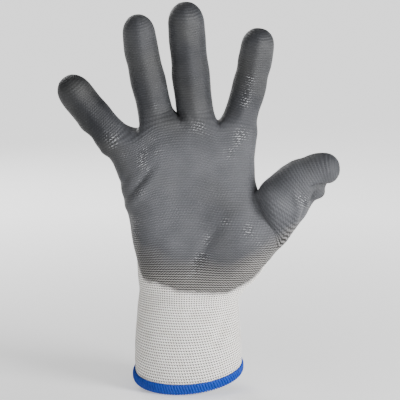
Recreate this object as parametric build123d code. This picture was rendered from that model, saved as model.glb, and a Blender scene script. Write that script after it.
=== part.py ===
from build123d import *
import os
from math import copysign, cos, pi, radians, sin

# One knitted work glove for the right hand, dipped on the palm side, in its worn shape.
# Millimetres. X runs across the palm to the thumb, Z runs from the cuff to the fingertips
# and the palm faces -Y. The origin is the middle of the wrist opening.
#
# Each tube of the glove is a loft through oval sections. A section lies on a plane given
# by its middle, its side direction (across the finger) and its axis (along the finger).
# The front of a section, side x axis, is the palm side, where the film is.

# ---------------------------------------------------------------- driving dimensions
HAND_Y = -8.0  # middle plane of the hand: the cuff runs back from it on its way down
KNIT = 1.2  # thickness of the knitted fabric
FILM = 0.6  # thickness of the dipped film on it
GAP = 0.6  # space between two parts of the glove that turn against each other
ROUND = 2.0  # exponent of an ellipse
SQUARE = 2.6  # exponent of the fuller, squarer oval of the palm
SECTION_POINTS = 16  # points that each oval runs through

# Fingers. Root: middle of the crease, across and up. Leans: how far the three parts
# lean from upright towards the thumb, in degrees. Crease: the same for the root crease.
FINGERS = {
    "index": dict(root=(32.2, 157), leans=(16, 12, 8), crease=4, length=61, width=20.8),
    "middle": dict(root=(5.2, 161), leans=(-7, -5.5, -3.5), crease=-2, length=72.5, width=22.6),
    "ring": dict(root=(-19.8, 160), leans=(-12.5, -11, -8), crease=-5, length=66.5, width=21),
    "little": dict(root=(-46, 146), leans=(-41, -39, -34), crease=-22, length=51, width=21.2),
}
PART_NAMES = ("base", "middle", "tip")
PART_SHARES = (0.38, 0.30, 0.32)  # of the finger's length
CURLS = (3, 9, 15)  # how far the three parts lean to the palm side, in degrees
FINGER_DEPTH = 0.9  # depth of a finger over its width
FINGER_TAPER = (1.0, 1.0, 0.96, 0.9)  # width at root, first crease, second crease and pad
DOME_TURNS = (0, 30, 55, 78)  # sections of a round tip, in degrees up from its widest
SOCKET_DEPTH = 2.0  # how far a finger's root reaches into the palm, in half widths

# Thumb: two moving parts on the root that the palm carries.
THUMB_ROOT = Vector(56, HAND_Y - 11, 101)
THUMB_LEANS = (44, 62)
THUMB_LENGTHS = (21, 30)
THUMB_WIDTHS = (33, 27.5, 21.5)  # at root, crease and pad
THUMB_CURL = 6.0
THUMB_ROLL = 30.0  # the pad turns this far from the palm side towards the index finger
THUMB_DEPTH = 0.92

# Ball of the thumb, inside the palm: middle, lean, curl, half width and half depth.
THUMB_BALL = (
    ((26, HAND_Y - 1, 60), 20, 4, 17, 17),
    ((40, HAND_Y - 7, 80), 36, 8, 17.5, 18),
)

# Palm, from the wrist knit to the knuckles: height, left edge, right edge, thickness.
PALM_LEVELS = (
    (50, -31, 35, 41),
    (58, -31.5, 37, 40),
    (70, -33, 41, 38),
    (95, -38.5, 42, 34),
    (120, -45, 42.5, 31),
    (136, -51.5, 43, 30),
    (145, -55, 44, 28),
)
PALM_TOP = 5.0  # the palm closes over this height above its last level
PALM_TILT = 6.0  # the top of the palm falls this much towards the little finger, in degrees
WEB_TOP = 155.0  # the web between the fingers reaches this height
WEB_HALF_DEPTH = 8.0

# Wrist and cuff. The cuff bends to the back on its way down, so the hem is lowest in front.
WRIST_Z = 43.0  # narrowest place, where the glove bends
WRIST_HALF = (32, 21.5)  # half width and half depth
WRIST_BAND = 14.0  # height of the knit that stretches when the wrist bends
HEM_HALF = (34.5, 24)
HEM_TILT = 22.0  # tilt of the hem's plane in degrees
CUFF_BULGE = 0.8  # the cuff's sides bow out this much between hem and wrist
CUFF_STEPS = 5

ELASTIC_ROWS = 9
ELASTIC_WIDTH = 0.9
ELASTIC_DEPTH = 0.5
ELASTIC_START = 1.6  # rows' worth of plain knit above the hem
HEM_HEIGHT = 4.6
HEM_OUT = 1.1  # how far the overlock thread stands out of the knit,
HEM_IN = 0.66  # how far it stands in,
HEM_UNDER = 1.2  # and how far it wraps below the edge

UP = Vector(0, 0, 1)
BIG = 400.0


# ---------------------------------------------------------------- sections and tubes
def oval(place, side, axis, half_width, half_depth, power=ROUND):
    """A closed oval face with its middle at place, square to axis, and its seam at the back."""
    plane = Plane(origin=place, x_dir=side, z_dir=axis)
    points = []
    for i in range(SECTION_POINTS):
        turn = pi / 2 + 2 * pi * i / SECTION_POINTS
        across = half_width * copysign(abs(cos(turn)) ** (2 / power), cos(turn))
        back = half_depth * copysign(abs(sin(turn)) ** (2 / power), sin(turn))
        points.append(plane.from_local_coords((across, back, 0)))
    return Face(Wire([Edge.make_spline(points, periodic=True)]))


def tube(stations, grow=0.0):
    """A loft through stations of (place, side, axis, half width, half depth, power)."""
    faces = [
        oval(place, side, axis, half_width + grow, half_depth + grow, power)
        for place, side, axis, half_width, half_depth, power in stations
    ]
    return Solid.make_loft([face.outer_wire() for face in faces])


def direction(lean, curl):
    """The way a finger part points, from its lean to the thumb and its curl to the palm."""
    return Vector(
        sin(radians(lean)) * cos(radians(curl)),
        -sin(radians(curl)),
        cos(radians(lean)) * cos(radians(curl)),
    )


def side_of(lean):
    """The direction across a finger that leans this much."""
    return Vector(cos(radians(lean)), 0, -sin(radians(lean)))


def rolled(side, axis, angle):
    """A side direction turned about the axis, so that the front turns with it."""
    return side.rotate(Axis((0, 0, 0), axis), angle)


def space_behind(place, side, axis):
    """A large block behind a finger's middle plane and below a place on it."""
    plane = Plane(origin=place, x_dir=side, z_dir=axis)
    return Solid.make_box(2 * BIG, BIG, BIG, plane).moved(Location(-BIG * side - BIG * axis))


# ---------------------------------------------------------------- the chain of a finger
def finger_chain(name):
    """A finger's joints as (place, side, axis), its tip, and its half widths at them."""
    finger = FINGERS[name]
    across, up = finger["root"]
    place = Vector(across, HAND_Y, up)
    ways = [direction(lean, curl) for lean, curl in zip(finger["leans"], CURLS)]
    sides = [side_of(lean) for lean in finger["leans"]]
    crease_side = side_of(finger["crease"])
    joints = [(place, crease_side, direction(finger["crease"], CURLS[0] / 2))]
    for i in (1, 2):
        place = place + ways[i - 1] * finger["length"] * PART_SHARES[i - 1]
        side = (sides[i - 1] + sides[i]).normalized()
        joints.append((place, side, (ways[i - 1] + ways[i]).normalized()))
    tip = place + ways[2] * finger["length"] * PART_SHARES[2]
    half_widths = [finger["width"] / 2 * share for share in FINGER_TAPER]
    return joints, ways, sides, tip, half_widths, FINGER_DEPTH


def thumb_chain():
    """The same for the thumb, which has one part fewer."""
    ways = [direction(lean, THUMB_CURL) for lean in THUMB_LEANS]
    sides = [rolled(side_of(lean), way, THUMB_ROLL) for lean, way in zip(THUMB_LEANS, ways)]
    crease = THUMB_ROOT + ways[0] * THUMB_LENGTHS[0]
    middle_side = (sides[0] + sides[1]).normalized()
    joints = [
        (THUMB_ROOT, sides[0], ways[0]),
        (crease, middle_side, (ways[0] + ways[1]).normalized()),
    ]
    tip = crease + ways[1] * THUMB_LENGTHS[1]
    return joints, ways, sides, tip, [width / 2 for width in THUMB_WIDTHS], THUMB_DEPTH


def on_joint(joint, half_width, depth, shift):
    """The oval at a joint, shifted along the finger by half the gap."""
    place, side, axis = joint
    return (place + axis * shift, side, axis, half_width, half_width * depth, ROUND)


def part_tube(chain, i, grow=0.0):
    """One part of a finger as a full body: between two joints, or from the last to the tip."""
    joints, ways, sides, tip, halves, depth = chain
    start = on_joint(joints[i], halves[i], depth, GAP / 2)
    if i + 1 < len(joints):
        waist = (joints[i][0] + joints[i + 1][0]) / 2
        half = (halves[i] + halves[i + 1]) / 2
        middle = (waist, sides[i], ways[i], half, half * depth, ROUND)
        return tube([start, middle, on_joint(joints[i + 1], halves[i + 1], depth, -GAP / 2)], grow)
    half = halves[i + 1]
    pad_start = tip - ways[i] * half
    waist_half = (halves[i] + half) / 2
    waist = ((joints[i][0] + pad_start) / 2, sides[i], ways[i], waist_half, waist_half * depth, ROUND)
    stations = [start, waist]
    for turn in DOME_TURNS:
        # the tip is a dome: its middle is one half width below the tip
        place = tip + ways[i] * ((half + grow) * sin(radians(turn)) - half)
        share = cos(radians(turn))
        across = (half + grow) * share - grow
        back = (half * depth + grow) * share - grow
        stations.append((place, sides[i], ways[i], across, back, ROUND))
    return tube(stations, grow)


def knit_part(chain, i):
    """The knitted fabric of one part: a hollow tube, closed at the tip."""
    return part_tube(chain, i) - part_tube(chain, i, -KNIT)


def film_part(chain, i):
    """The dipped film of one part: over its front, and right round the end of the tip."""
    joints, ways, sides, tip, halves, depth = chain
    skin = part_tube(chain, i, FILM) - part_tube(chain, i)
    bare_to = joints[i][0] + ways[i] * BIG / 2
    if i + 1 == len(joints):
        bare_to = tip - ways[i] * halves[i + 1]
    return skin - space_behind(bare_to, sides[i], ways[i])


# ---------------------------------------------------------------- the palm
def palm_body(grow=0.0):
    """The palm from the wrist knit to the finger roots, with the root of the thumb."""
    stations = []
    for height, left, right, thickness in PALM_LEVELS:
        # levels tilt gradually, up to PALM_TILT at the knuckles
        tilt = PALM_TILT * (height - PALM_LEVELS[0][0]) / (PALM_LEVELS[-1][0] - PALM_LEVELS[0][0])
        place = Vector((left + right) / 2, HAND_Y, height)
        stations.append(
            (place, side_of(-tilt), direction(-tilt, 0), (right - left) / 2, thickness / 2, SQUARE)
        )
    place, side, axis, half_width, half_depth, power = stations[-1]
    top = place + axis * (PALM_TOP + grow)
    stations.append((top, side, axis, half_width - PALM_TOP, half_depth - PALM_TOP, power))
    body = tube(stations, grow)
    body = body + web(grow)
    for name in FINGERS:
        body = body + finger_socket(name, grow)
    body = body + thumb_root(grow)
    for name in FINGERS:
        body = body - above_crease(name)
    return body


def web(grow):
    """The web between the index, middle and ring fingers."""
    left = FINGERS["ring"]["root"][0]
    right = FINGERS["index"]["root"][0]
    half = (right - left) / 2
    stations = []
    for height in (PALM_LEVELS[-2][0], WEB_TOP + grow):
        place = Vector((left + right) / 2, HAND_Y, height)
        stations.append((place, Vector(1, 0, 0), UP, half, WEB_HALF_DEPTH, ROUND))
    return tube(stations, grow)


def finger_socket(name, grow):
    """The short tube between the palm and a finger's root crease."""
    joints, ways, sides, tip, halves, depth = finger_chain(name)
    place = joints[0][0] - ways[0] * halves[0] * SOCKET_DEPTH
    low = (place, sides[0], ways[0], halves[0], halves[0] * depth, ROUND)
    return tube([low, on_joint(joints[0], halves[0], depth, -GAP / 2)], grow)


def above_crease(name):
    """The space just past a finger's root crease, as wide as the finger can be."""
    place, side, axis = finger_chain(name)[0][0]
    reach = FINGERS[name]["width"] / 2 + GAP + FILM
    plane = Plane(origin=place - axis * GAP / 2, x_dir=side, z_dir=axis)
    block = Solid.make_box(2 * reach, 2 * BIG, BIG, plane)
    return block.moved(Location(-reach * plane.x_dir - BIG * plane.y_dir))


def thumb_root(grow):
    """The ball of the thumb, from inside the palm to the thumb's root crease."""
    joints, ways, sides, tip, halves, depth = thumb_chain()
    stations = [
        (Vector(*place), side_of(lean), direction(lean, curl), half_width, half_depth, ROUND)
        for place, lean, curl, half_width, half_depth in THUMB_BALL
    ]
    stations.append(on_joint(joints[0], halves[0], depth, -GAP / 2))
    return tube(stations, grow)


def palm_knit():
    """The knitted palm, open to the wrist, the fingers and the thumb."""
    return palm_body() - palm_body(-KNIT)


# The film's lower edge on the palm, across and up, from the little finger's side.
FILM_EDGE = ((-60, 66), (-32, 66), (-28, 58), (-17, 57), (8, 52), (27, 52), (49, 67), (90, 67))


def palm_film():
    """The dipped film on the palm's front, down to its wavy lower edge."""
    skin = palm_body(FILM) - palm_body()
    outline = [Vector(x, 0, z) for x, z in FILM_EDGE]
    outline += [Vector(FILM_EDGE[-1][0], 0, BIG), Vector(FILM_EDGE[0][0], 0, BIG)]
    area = Face(Wire.make_polygon(outline, close=True))
    front = Solid.extrude(area, Vector(0, -BIG, 0)).moved(Location((0, HAND_Y, 0)))
    return skin & front


# ---------------------------------------------------------------- wrist, cuff and hem
def cuff_station(share):
    """The oval of the cuff at a share of its height, from hem (0) to the wrist line (1)."""
    tilt = HEM_TILT * (1 - share)
    bulge = sin(pi * share) * CUFF_BULGE
    half_width = HEM_HALF[0] + (WRIST_HALF[0] - HEM_HALF[0]) * share + bulge
    half_depth = HEM_HALF[1] + (WRIST_HALF[1] - HEM_HALF[1]) * share + bulge
    place = Vector(0, HAND_Y * (1 - (1 - share) ** 2), WRIST_Z * share)
    axis = Vector(0, -sin(radians(tilt)), cos(radians(tilt)))
    return place, Vector(1, 0, 0), axis, half_width, half_depth, ROUND


CUFF_TOP = (WRIST_Z - WRIST_BAND / 2) / WRIST_Z  # share at which the cuff ends


def cuff_tube(grow=0.0):
    """The cuff as a full body, from the hem to the wrist knit."""
    shares = [CUFF_TOP * i / CUFF_STEPS for i in range(CUFF_STEPS + 1)]
    return tube([cuff_station(share) for share in shares], grow)


def elastic_rows():
    """The covered elastic yarn, laid into the inside of the cuff in rows."""
    rows = []
    for i in range(ELASTIC_ROWS):
        share = CUFF_TOP * (i + ELASTIC_START) / (ELASTIC_ROWS + ELASTIC_START)
        place, side, axis, half_width, half_depth, power = cuff_station(share)
        ring = []
        for grow in (ELASTIC_DEPTH - KNIT, -KNIT - ELASTIC_DEPTH / 2):
            face = oval(place, side, axis, half_width + grow, half_depth + grow, power)
            ring.append(Solid.extrude(face, axis * ELASTIC_WIDTH))
        rows.append(ring[0] - ring[1])
    return rows


def cuff_knit(rows):
    """The ribbed cuff with a channel for each elastic row."""
    cuff = cuff_tube() - cuff_tube(-KNIT)
    for row in rows:
        cuff = cuff - row
    return cuff


def hem_overlock():
    """The overlock thread that wraps the cuff's edge."""
    edge = cuff_station(0)
    place, side, axis = edge[:3]
    below = (place - axis * HEM_UNDER, *edge[1:])
    stations = [below, edge, cuff_station((HEM_HEIGHT - HEM_UNDER) / WRIST_Z)]
    band = tube(stations, HEM_OUT) - tube(stations, -KNIT - HEM_IN)
    return band - (cuff_tube() - cuff_tube(-KNIT))


def wrist_knit():
    """The knit between cuff and palm, which stretches when the wrist bends."""
    cuff_end = cuff_station(CUFF_TOP)
    low = (cuff_end[0] + cuff_end[2] * GAP / 2, *cuff_end[1:])
    height, left, right, thickness = PALM_LEVELS[0]
    place = Vector((left + right) / 2, HAND_Y, height - GAP / 2)
    high = (place, Vector(1, 0, 0), UP, (right - left) / 2, thickness / 2, SQUARE)
    stations = [low, cuff_station(1), high]
    return tube(stations) - tube(stations, -KNIT)


# ---------------------------------------------------------------- writing the parts
def write(name, shape):
    """Write one named piece to its own STEP file."""
    solids = shape if isinstance(shape, list) else shape.solids()
    piece = Compound(children=solids) if len(solids) > 1 else solids[0]
    piece.label = name
    export_step(piece, f"parts/{name}.step")


def main():
    os.makedirs("parts", exist_ok=True)
    write("palm_knit", palm_knit())
    write("palm_film", palm_film())
    write("wrist_knit", wrist_knit())
    rows = elastic_rows()
    write("cuff_knit", cuff_knit(rows))
    write("cuff_elastic", rows)
    write("hem_overlock", hem_overlock())
    chains = {name: finger_chain(name) for name in FINGERS}
    for name, chain in chains.items():
        for i, part_name in enumerate(PART_NAMES):
            write(f"{name}_{part_name}_knit", knit_part(chain, i))
            write(f"{name}_{part_name}_film", film_part(chain, i))
    thumb = thumb_chain()
    for i, part_name in enumerate(("base", "tip")):
        write(f"thumb_{part_name}_knit", knit_part(thumb, i))
        write(f"thumb_{part_name}_film", film_part(thumb, i))


if __name__ == "__main__":
    main()
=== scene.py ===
import itertools
import math

import bpy
import numpy as np
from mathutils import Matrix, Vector


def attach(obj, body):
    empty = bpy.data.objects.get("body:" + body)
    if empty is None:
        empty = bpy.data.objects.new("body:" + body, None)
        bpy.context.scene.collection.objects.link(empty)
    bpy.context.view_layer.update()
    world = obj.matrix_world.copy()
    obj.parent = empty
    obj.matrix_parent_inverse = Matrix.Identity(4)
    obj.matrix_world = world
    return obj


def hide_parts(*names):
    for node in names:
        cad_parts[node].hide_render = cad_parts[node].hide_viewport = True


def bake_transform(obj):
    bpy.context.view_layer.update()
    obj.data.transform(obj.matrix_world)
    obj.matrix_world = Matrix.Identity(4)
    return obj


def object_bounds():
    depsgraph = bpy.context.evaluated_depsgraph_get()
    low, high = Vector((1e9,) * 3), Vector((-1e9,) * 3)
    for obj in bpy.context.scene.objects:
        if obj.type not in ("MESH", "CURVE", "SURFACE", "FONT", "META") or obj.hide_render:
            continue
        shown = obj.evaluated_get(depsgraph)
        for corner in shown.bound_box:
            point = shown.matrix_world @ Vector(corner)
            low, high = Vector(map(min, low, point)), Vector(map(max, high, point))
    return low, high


# One right-hand work glove: white 13-gauge knit, grey dipped film on the palm side, ribbed
# cuff with elastic yarn and a blue overlocked edge. Lengths are in millimetres until a mesh
# is stored. X runs to the thumb, Z to the fingertips, and the palm faces -Y.
#
# The glove is one cage of quads: a palm tube whose top splits into four fingers, and a
# thumb that grows out of its side. The cage is subdivided, its surface is worked over
# (folds, stitches), and it is cut into one knit piece and one film piece for each joint.

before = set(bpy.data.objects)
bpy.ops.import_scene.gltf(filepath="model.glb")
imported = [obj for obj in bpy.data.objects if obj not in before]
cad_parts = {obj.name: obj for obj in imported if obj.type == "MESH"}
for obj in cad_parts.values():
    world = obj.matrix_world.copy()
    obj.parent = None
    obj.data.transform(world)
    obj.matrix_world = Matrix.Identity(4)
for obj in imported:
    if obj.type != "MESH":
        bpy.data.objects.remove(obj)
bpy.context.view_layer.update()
MM = 0.001

# ---- sizes
HAND_Y = -8.0  # middle plane of the hand
WRIST_Z = 43.0  # narrowest place, where the glove bends
WRIST_LINE = 50.0  # lowest ring of the palm
WRIST_HALF = (32.0, 21.0)  # half width and half depth at the wrist line
HEM_HALF = (34.8, 24.0)
CUFF_BULGE = 0.6
HEM_TILT = 18.0  # the hem's plane tilts down to the front, degrees,
HEM_ROLL = 4.5  # and down to the little finger's side
HEM_DROP = 7.0  # the hem has slipped this far down

KNIT = 1.2
FILM = 0.55

FINGERS = {
    "little": dict(root=(-45.0, 145.2), leans=(-41, -39, -34), length=52, width=21.4),
    "ring": dict(root=(-19.8, 160), leans=(-12.5, -11, -8), length=66.5, width=21.0),
    "middle": dict(root=(5.2, 161), leans=(-7, -5.5, -3.5), length=72.5, width=22.6),
    "index": dict(root=(32.2, 157), leans=(16, 12, 8), length=61, width=20.8),
}
SHARES = (0.38, 0.30, 0.32)
CURLS = (3, 9, 15)
FINGER_DEPTH = 0.92
FINGER_RIDGE = 0.1  # the film is drawn out along the middle of a finger's front
FINGER_FILM = (103, 14.0)  # the film's edge round a finger, degrees, and length of its closed tip
FINGER_SHAPE = (1.03, 0.98, 1.03, 0.96, 0.98, 0.95, 0.90)  # width at each joint and between them
JOINT_SOFTNESS = 6.0  # a finger's middle line bends over this length each side of a joint

THUMB_ROOT = np.array([55.0, HAND_Y - 6.5, 101.5])
THUMB_LEANS = (38.5, 57.0, 84.0)
THUMB_BENDS = (24.0, 41.0)  # places along the thumb where its lean changes
THUMB_CURL = 9.0
THUMB_ROLL = 30.0
THUMB_LENGTHS = (20.5, 31.5)
THUMB_DEPTH = 0.92
THUMB_WIDTHS = ([0, 9, 20.5, 29, 36, 44, 52], [35, 34.5, 32, 29.5, 24.5, 20.5, 18.5])
THUMB_TUBE_START = 9.0  # from here on the thumb is a tube; below it blends into the palm
THUMB_TIP = 11.0  # the thumb's tip is as wide as the thumb is this far from its end
THUMB_FILM = (118, 16.0)

# Cage: columns of quads round each tube, and rows along it.
FRONT = 6  # columns in the front of a finger, and as many at its back
SIDE = 3  # columns at each side of a finger and each edge of the palm
ROUND_FINGER = 2 * (FRONT + SIDE)
ROUND_PALM = 2 * (4 * FRONT + SIDE)
PALM_ROWS = 34
THUMB_COLUMNS = (11, 5)  # rows and columns of the palm that the thumb grows out of
THUMB_BLENDS = 4  # rows that lead from the hole in the palm to the thumb's tube
HOLE_ROW = 10
HOLE_COLUMN = 4 * FRONT - 1
DOME_TURNS = (24, 46, 64)  # rings of a round tip, degrees past its straight part
ROW = 3.1  # height of a cage row in the fingers
COLUMN = 4.4  # width of a cage column in the palm
FILM_PAST_SIDE = 0.9  # columns that the film reaches behind the middle of the palm's side
CUFF_ROWS = 24
CUFF_TOP = 30.0  # the cuff piece ends at this height, and the wrist piece begins
LEVELS = 3  # times that the cage is subdivided
RIDGE_TURN = 10  # a finger's ridge is this many degrees wide each side of the front's middle
WEB_RISE = 1.8  # the cloth between two fingers stands this far above the knuckle line

# A point's cover is its distance inside the film's edge; bare knit has less than 0.
COVER_TIP = 20.0
COVER_TUBE = 8.0  # the most that a place near a round tip has
COVER_WEB = (6.0, 1.5)  # between two fingers, from front to back
COVER_CUFF = -20.0
COVER_INSIDE = -50.0

WALES_PER_COLUMN = 2.0
THUMB_WALES_PER_COLUMN = 1.5
COURSES_PER_ROW = 2.0
CUFF_COURSES_PER_ROW = 1.5
SKEW = 0.3  # wales that the knit runs aside in each course
STITCH_SLANT = 0.38  # courses that a stitch's legs rise from its middle to its sides


def rad(degrees):
    return degrees * math.pi / 180


def smooth(x, low=0.0, high=1.0):
    t = np.clip((np.asarray(x, float) - low) / (high - low), 0, 1)
    return t * t * (3 - 2 * t)


def unit(v):
    v = np.asarray(v, float)
    return v / np.linalg.norm(v, axis=-1, keepdims=True)


def way_of(lean, curl):
    """The way a tube points, from its lean to the thumb and its curl to the palm side."""
    lean, curl = rad(lean), rad(curl)
    flat = math.cos(curl)
    return np.array([math.sin(lean) * flat, -math.sin(curl), math.cos(lean) * flat])


def turned(v, axis, degrees):
    """v turned about a unit axis."""
    c, s = math.cos(rad(degrees)), math.sin(rad(degrees))
    return v * c + np.cross(axis, v) * s + axis * (v @ axis) * (1 - c)


# ---- middle lines
class Line:
    """A finger's middle line: place, way and side at any length along it."""

    def __init__(self, start, leans, curls, lengths, roll=0.0, bends=None):
        self.joints = np.cumsum([0.0, *lengths])
        self.length = self.joints[-1]
        self.bends = self.joints[1:-1] if bends is None else bends
        self.leans, self.curls, self.roll = leans, curls, roll
        self.steps = np.linspace(0, self.length, 241)
        ways = np.array([self.way(s) for s in self.steps])
        step = self.steps[1] - self.steps[0]
        moved = np.cumsum((ways[1:] + ways[:-1]) / 2 * step, axis=0)
        self.points = np.vstack([start, start + moved])

    def blended(self, values, s):
        value = values[0]
        for i, bend in enumerate(self.bends):
            share = smooth(s, bend - JOINT_SOFTNESS, bend + JOINT_SOFTNESS)
            value = value + (values[i + 1] - values[i]) * share
        return float(value)

    def way(self, s):
        return way_of(self.blended(self.leans, s), self.blended(self.curls, s))

    def place(self, s):
        return np.array([np.interp(s, self.steps, self.points[:, k]) for k in range(3)])

    def side(self, s):
        lean = rad(self.blended(self.leans, s))
        side = np.array([math.cos(lean), 0.0, -math.sin(lean)])
        return turned(side, self.way(s), self.roll)

    def cuts(self):
        """Where the pieces of a finger meet: halfway between its joints."""
        return [(low + high) / 2 for low, high in zip(self.joints[:-2], self.joints[1:-1])]


def finger_line(name):
    finger = FINGERS[name]
    across, up = finger["root"]
    lengths = [finger["length"] * share for share in SHARES]
    return Line(np.array([across, HAND_Y, up]), finger["leans"], CURLS, lengths)


LINES = {name: finger_line(name) for name in FINGERS}
LINES["thumb"] = Line(
    THUMB_ROOT, THUMB_LEANS, (THUMB_CURL,) * 3, THUMB_LENGTHS, THUMB_ROLL, THUMB_BENDS
)


# ---- the cage
class Cage:
    """Points with a film cover each, and quads with their place in the knit and a piece."""

    def __init__(self):
        self.points, self.cover = [], []
        self.quads, self.knit, self.piece = [], [], []
        self.names = []

    def add(self, point, cover):
        self.points.append(np.asarray(point, float))
        self.cover.append(float(cover))
        return len(self.points) - 1

    def quad(self, corners, knit, name):
        if name not in self.names:
            self.names.append(name)
        self.quads.append(corners)
        self.knit.append(knit)
        self.piece.append(self.names.index(name))


cage = Cage()


def even_oval(half_width, half_depth, power, count, first):
    """Points at even steps round an oval, as (across, back). Point `first` is the front middle."""
    turn = np.linspace(0, 2 * np.pi, 1441)
    across = half_width * np.sign(np.sin(turn)) * np.abs(np.sin(turn)) ** (2 / power)
    back = -half_depth * np.sign(np.cos(turn)) * np.abs(np.cos(turn)) ** (2 / power)
    run = np.concatenate([[0], np.cumsum(np.hypot(np.diff(across), np.diff(back)))])
    at = ((np.arange(count) - first) / count % 1.0) * run[-1]
    return np.interp(at, run, across), np.interp(at, run, back)


# The palm's left and right edges and its thickness, each by height. Between the rows of the
# thumb's hole the right edge is where the ball of the thumb would end.
LEFT_EDGE = (
    *((50, -31), (56, -32), (69, -32.8), (82, -35.5), (95, -38.3), (107, -41.5), (114, -42.6)),
    *((120, -44.6), (127, -47), (132, -49.5), (135, -52.5), (138, -55)),
)
RIGHT_EDGE = (
    *((50, 36.5), (56, 43), (62, 47), (69, 51), (75, 55), (80, 59), (90, 56), (100, 50)),
    *((113, 44), (120, 42.3), (133, 41.8), (145, 42.8), (151, 43.6)),
)
THICKNESS = ((50, 41), (69, 38), (90, 35), (113, 32), (133, 28.5), (145, 25.5), (155, 23.5))

# Height of the knuckle ring on the front, by its place across.
KNUCKLE_LINE = (
    *((-62, 133), (-56, 137), (-45, 143), (-33, 146.5), (-20, 156.5), (-7.5, 159), (5, 159)),
    *((18.5, 153.5), (32, 154.5), (48, 150.5)),
)


def between(table, x):
    """The value at x between the rows (x, value) of a table."""
    return np.interp(x, *zip(*table))


def bump(x, z, at_x, at_z, wide, high):
    return np.exp(-(((x - at_x) / wide) ** 2) - ((z - at_z) / high) ** 2)


def palm_forward(x, z, front):
    """How far the palm's surface stands to the front (-Y): balls of thumb and little finger."""
    ball = 8.0 * bump(x, z, 42, 84, 24, 28) * (0.35 + 0.65 * front)
    heel = 3.0 * bump(x, z, -24, 84, 18, 28) * front
    hollow = -2.5 * bump(x, z, 2, 104, 18, 26) * front
    pads = 1.2 * bump(x, z, -8, 143, 45, 9) * front
    return ball + heel + hollow + pads


def palm_ring(share):
    """One ring of the palm, at a share of the way from the wrist line to the knuckles."""
    left_z, middle_z, right_z = WRIST_LINE + (knuckle_height([-56, 0, 44]) - WRIST_LINE) * share
    left, right = between(LEFT_EDGE, left_z), between(RIGHT_EDGE, right_z)
    thick = between(THICKNESS, middle_z)
    power = 2.0 + 0.6 * smooth(share, 0.0, 0.35)
    across, back = even_oval((right - left) / 2, thick / 2, power, ROUND_PALM, 2 * FRONT)
    x = across + (left + right) / 2
    front = smooth(-back / (thick / 2), -0.5, 0.7)
    z = WRIST_LINE + (knuckle_height(x) - WRIST_LINE) * share
    y = HAND_Y + back - palm_forward(x, z, front)
    return np.column_stack([x, y, z])


def knuckle_height(x):
    return between(KNUCKLE_LINE, x)


def palm_cover(column):
    """How far inside the film's edge at the palm's sides a column is."""
    from_front = abs((column - 2 * FRONT + ROUND_PALM / 2) % ROUND_PALM - ROUND_PALM / 2)
    return (ROUND_PALM / 4 + FILM_PAST_SIDE - from_front) * COLUMN


def build_palm():
    rings = []
    for row in range(PALM_ROWS + 1):
        points = palm_ring(row / PALM_ROWS)
        rings.append([cage.add(p, palm_cover(column)) for column, p in enumerate(points)])
    for row in range(PALM_ROWS):
        for column in range(ROUND_PALM):
            in_hole = (
                HOLE_ROW <= row < HOLE_ROW + THUMB_COLUMNS[0]
                and HOLE_COLUMN <= column < HOLE_COLUMN + THUMB_COLUMNS[1]
            )
            if not in_hole:
                join(rings[row], rings[row + 1], column, row * COURSES_PER_ROW, "palm")
    return rings


def join(low, high, column, course, name, wales=WALES_PER_COLUMN, first=0.0, step=COURSES_PER_ROW):
    """The quad between two rings at a column, with its place in the knit."""
    after = (column + 1) % len(low)
    corners = (low[column], low[after], high[after], high[column])
    cage.quad(corners, knit_cell(first + column * wales, wales, course, step), name)


def join_rings(low, high, course, name, wales, first=0.0):
    """All the quads between two rings of a tube."""
    for column in range(len(low)):
        join(low, high, column, course, name, wales, first)


def knit_cell(wale, wales, course, courses):
    """The four knit places (wale, course) of a quad; the wales run aside with each course."""
    left, right = wale + SKEW * course, wale + wales + SKEW * course
    aside, top = SKEW * courses, course + courses
    return (left, course), (right, course), (right + aside, top), (left + aside, top)


def cap(ring, counts, lift, course, name, wales, first_wale):
    """Closes a ring with a grid of quads; lift(u, v) gives the grid's inner points."""
    rows, columns = counts
    grid = {}
    for i in range(rows + 1):
        grid[i, 0] = ring[i]
        grid[i, columns] = ring[(2 * rows + columns - i) % len(ring)]
    for j in range(columns + 1):
        grid[rows, j] = ring[rows + j]
        grid[0, j] = ring[(len(ring) - j) % len(ring)]
    for i in range(1, rows):
        for j in range(1, columns):
            grid[i, j] = cage.add(lift(i / rows, j / columns), COVER_TIP)
    for i in range(rows):
        for j in range(columns):
            corners = (grid[i, j], grid[i + 1, j], grid[i + 1, j + 1], grid[i, j + 1])
            low = course + j * COURSES_PER_ROW
            cage.quad(corners, knit_cell(first_wale + i * wales, wales, low, COURSES_PER_ROW), name)


def tube_point(line, s, angle, half_width, half_depth):
    """A point round a middle line. The angle runs from the front towards the side."""
    way, side = line.way(s), line.side(s)
    front = np.cross(side, way)
    return (
        line.place(s) + side * half_width * math.sin(angle) + front * half_depth * math.cos(angle)
    )


def dome(line, angles, half_width, depth, counts):
    """The inner points of a round tip, as a function of their shares of its width and depth."""
    rows, columns = counts
    edge = np.column_stack([np.sin(angles), np.cos(angles)])
    way, side = line.way(line.length), line.side(line.length)
    front_way = np.cross(side, way)

    def on_ring(k):
        low = int(math.floor(k))
        return edge[low % len(edge)] * (1 - k + low) + edge[(low + 1) % len(edge)] * (k - low)

    def inner(u, v):
        front, back = on_ring(u * rows), on_ring(2 * rows + columns - u * rows)
        right, left = on_ring(rows + v * columns), on_ring(len(edge) - v * columns)
        flat = (1 - v) * front + v * back + (1 - u) * left + u * right
        corners = (
            (1 - u) * (1 - v) * edge[0]
            + u * (1 - v) * edge[rows]
            + u * v * edge[rows + columns]
            + (1 - u) * v * edge[2 * rows + columns]
        )
        flat = (flat - corners) * math.cos(rad(DOME_TURNS[-1]))
        below = half_width * (1 - math.sqrt(max(0.0, 1 - flat @ flat)))
        place = line.place(line.length) - way * below
        return place + side * half_width * flat[0] + front_way * half_width * depth * flat[1]

    return inner


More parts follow.
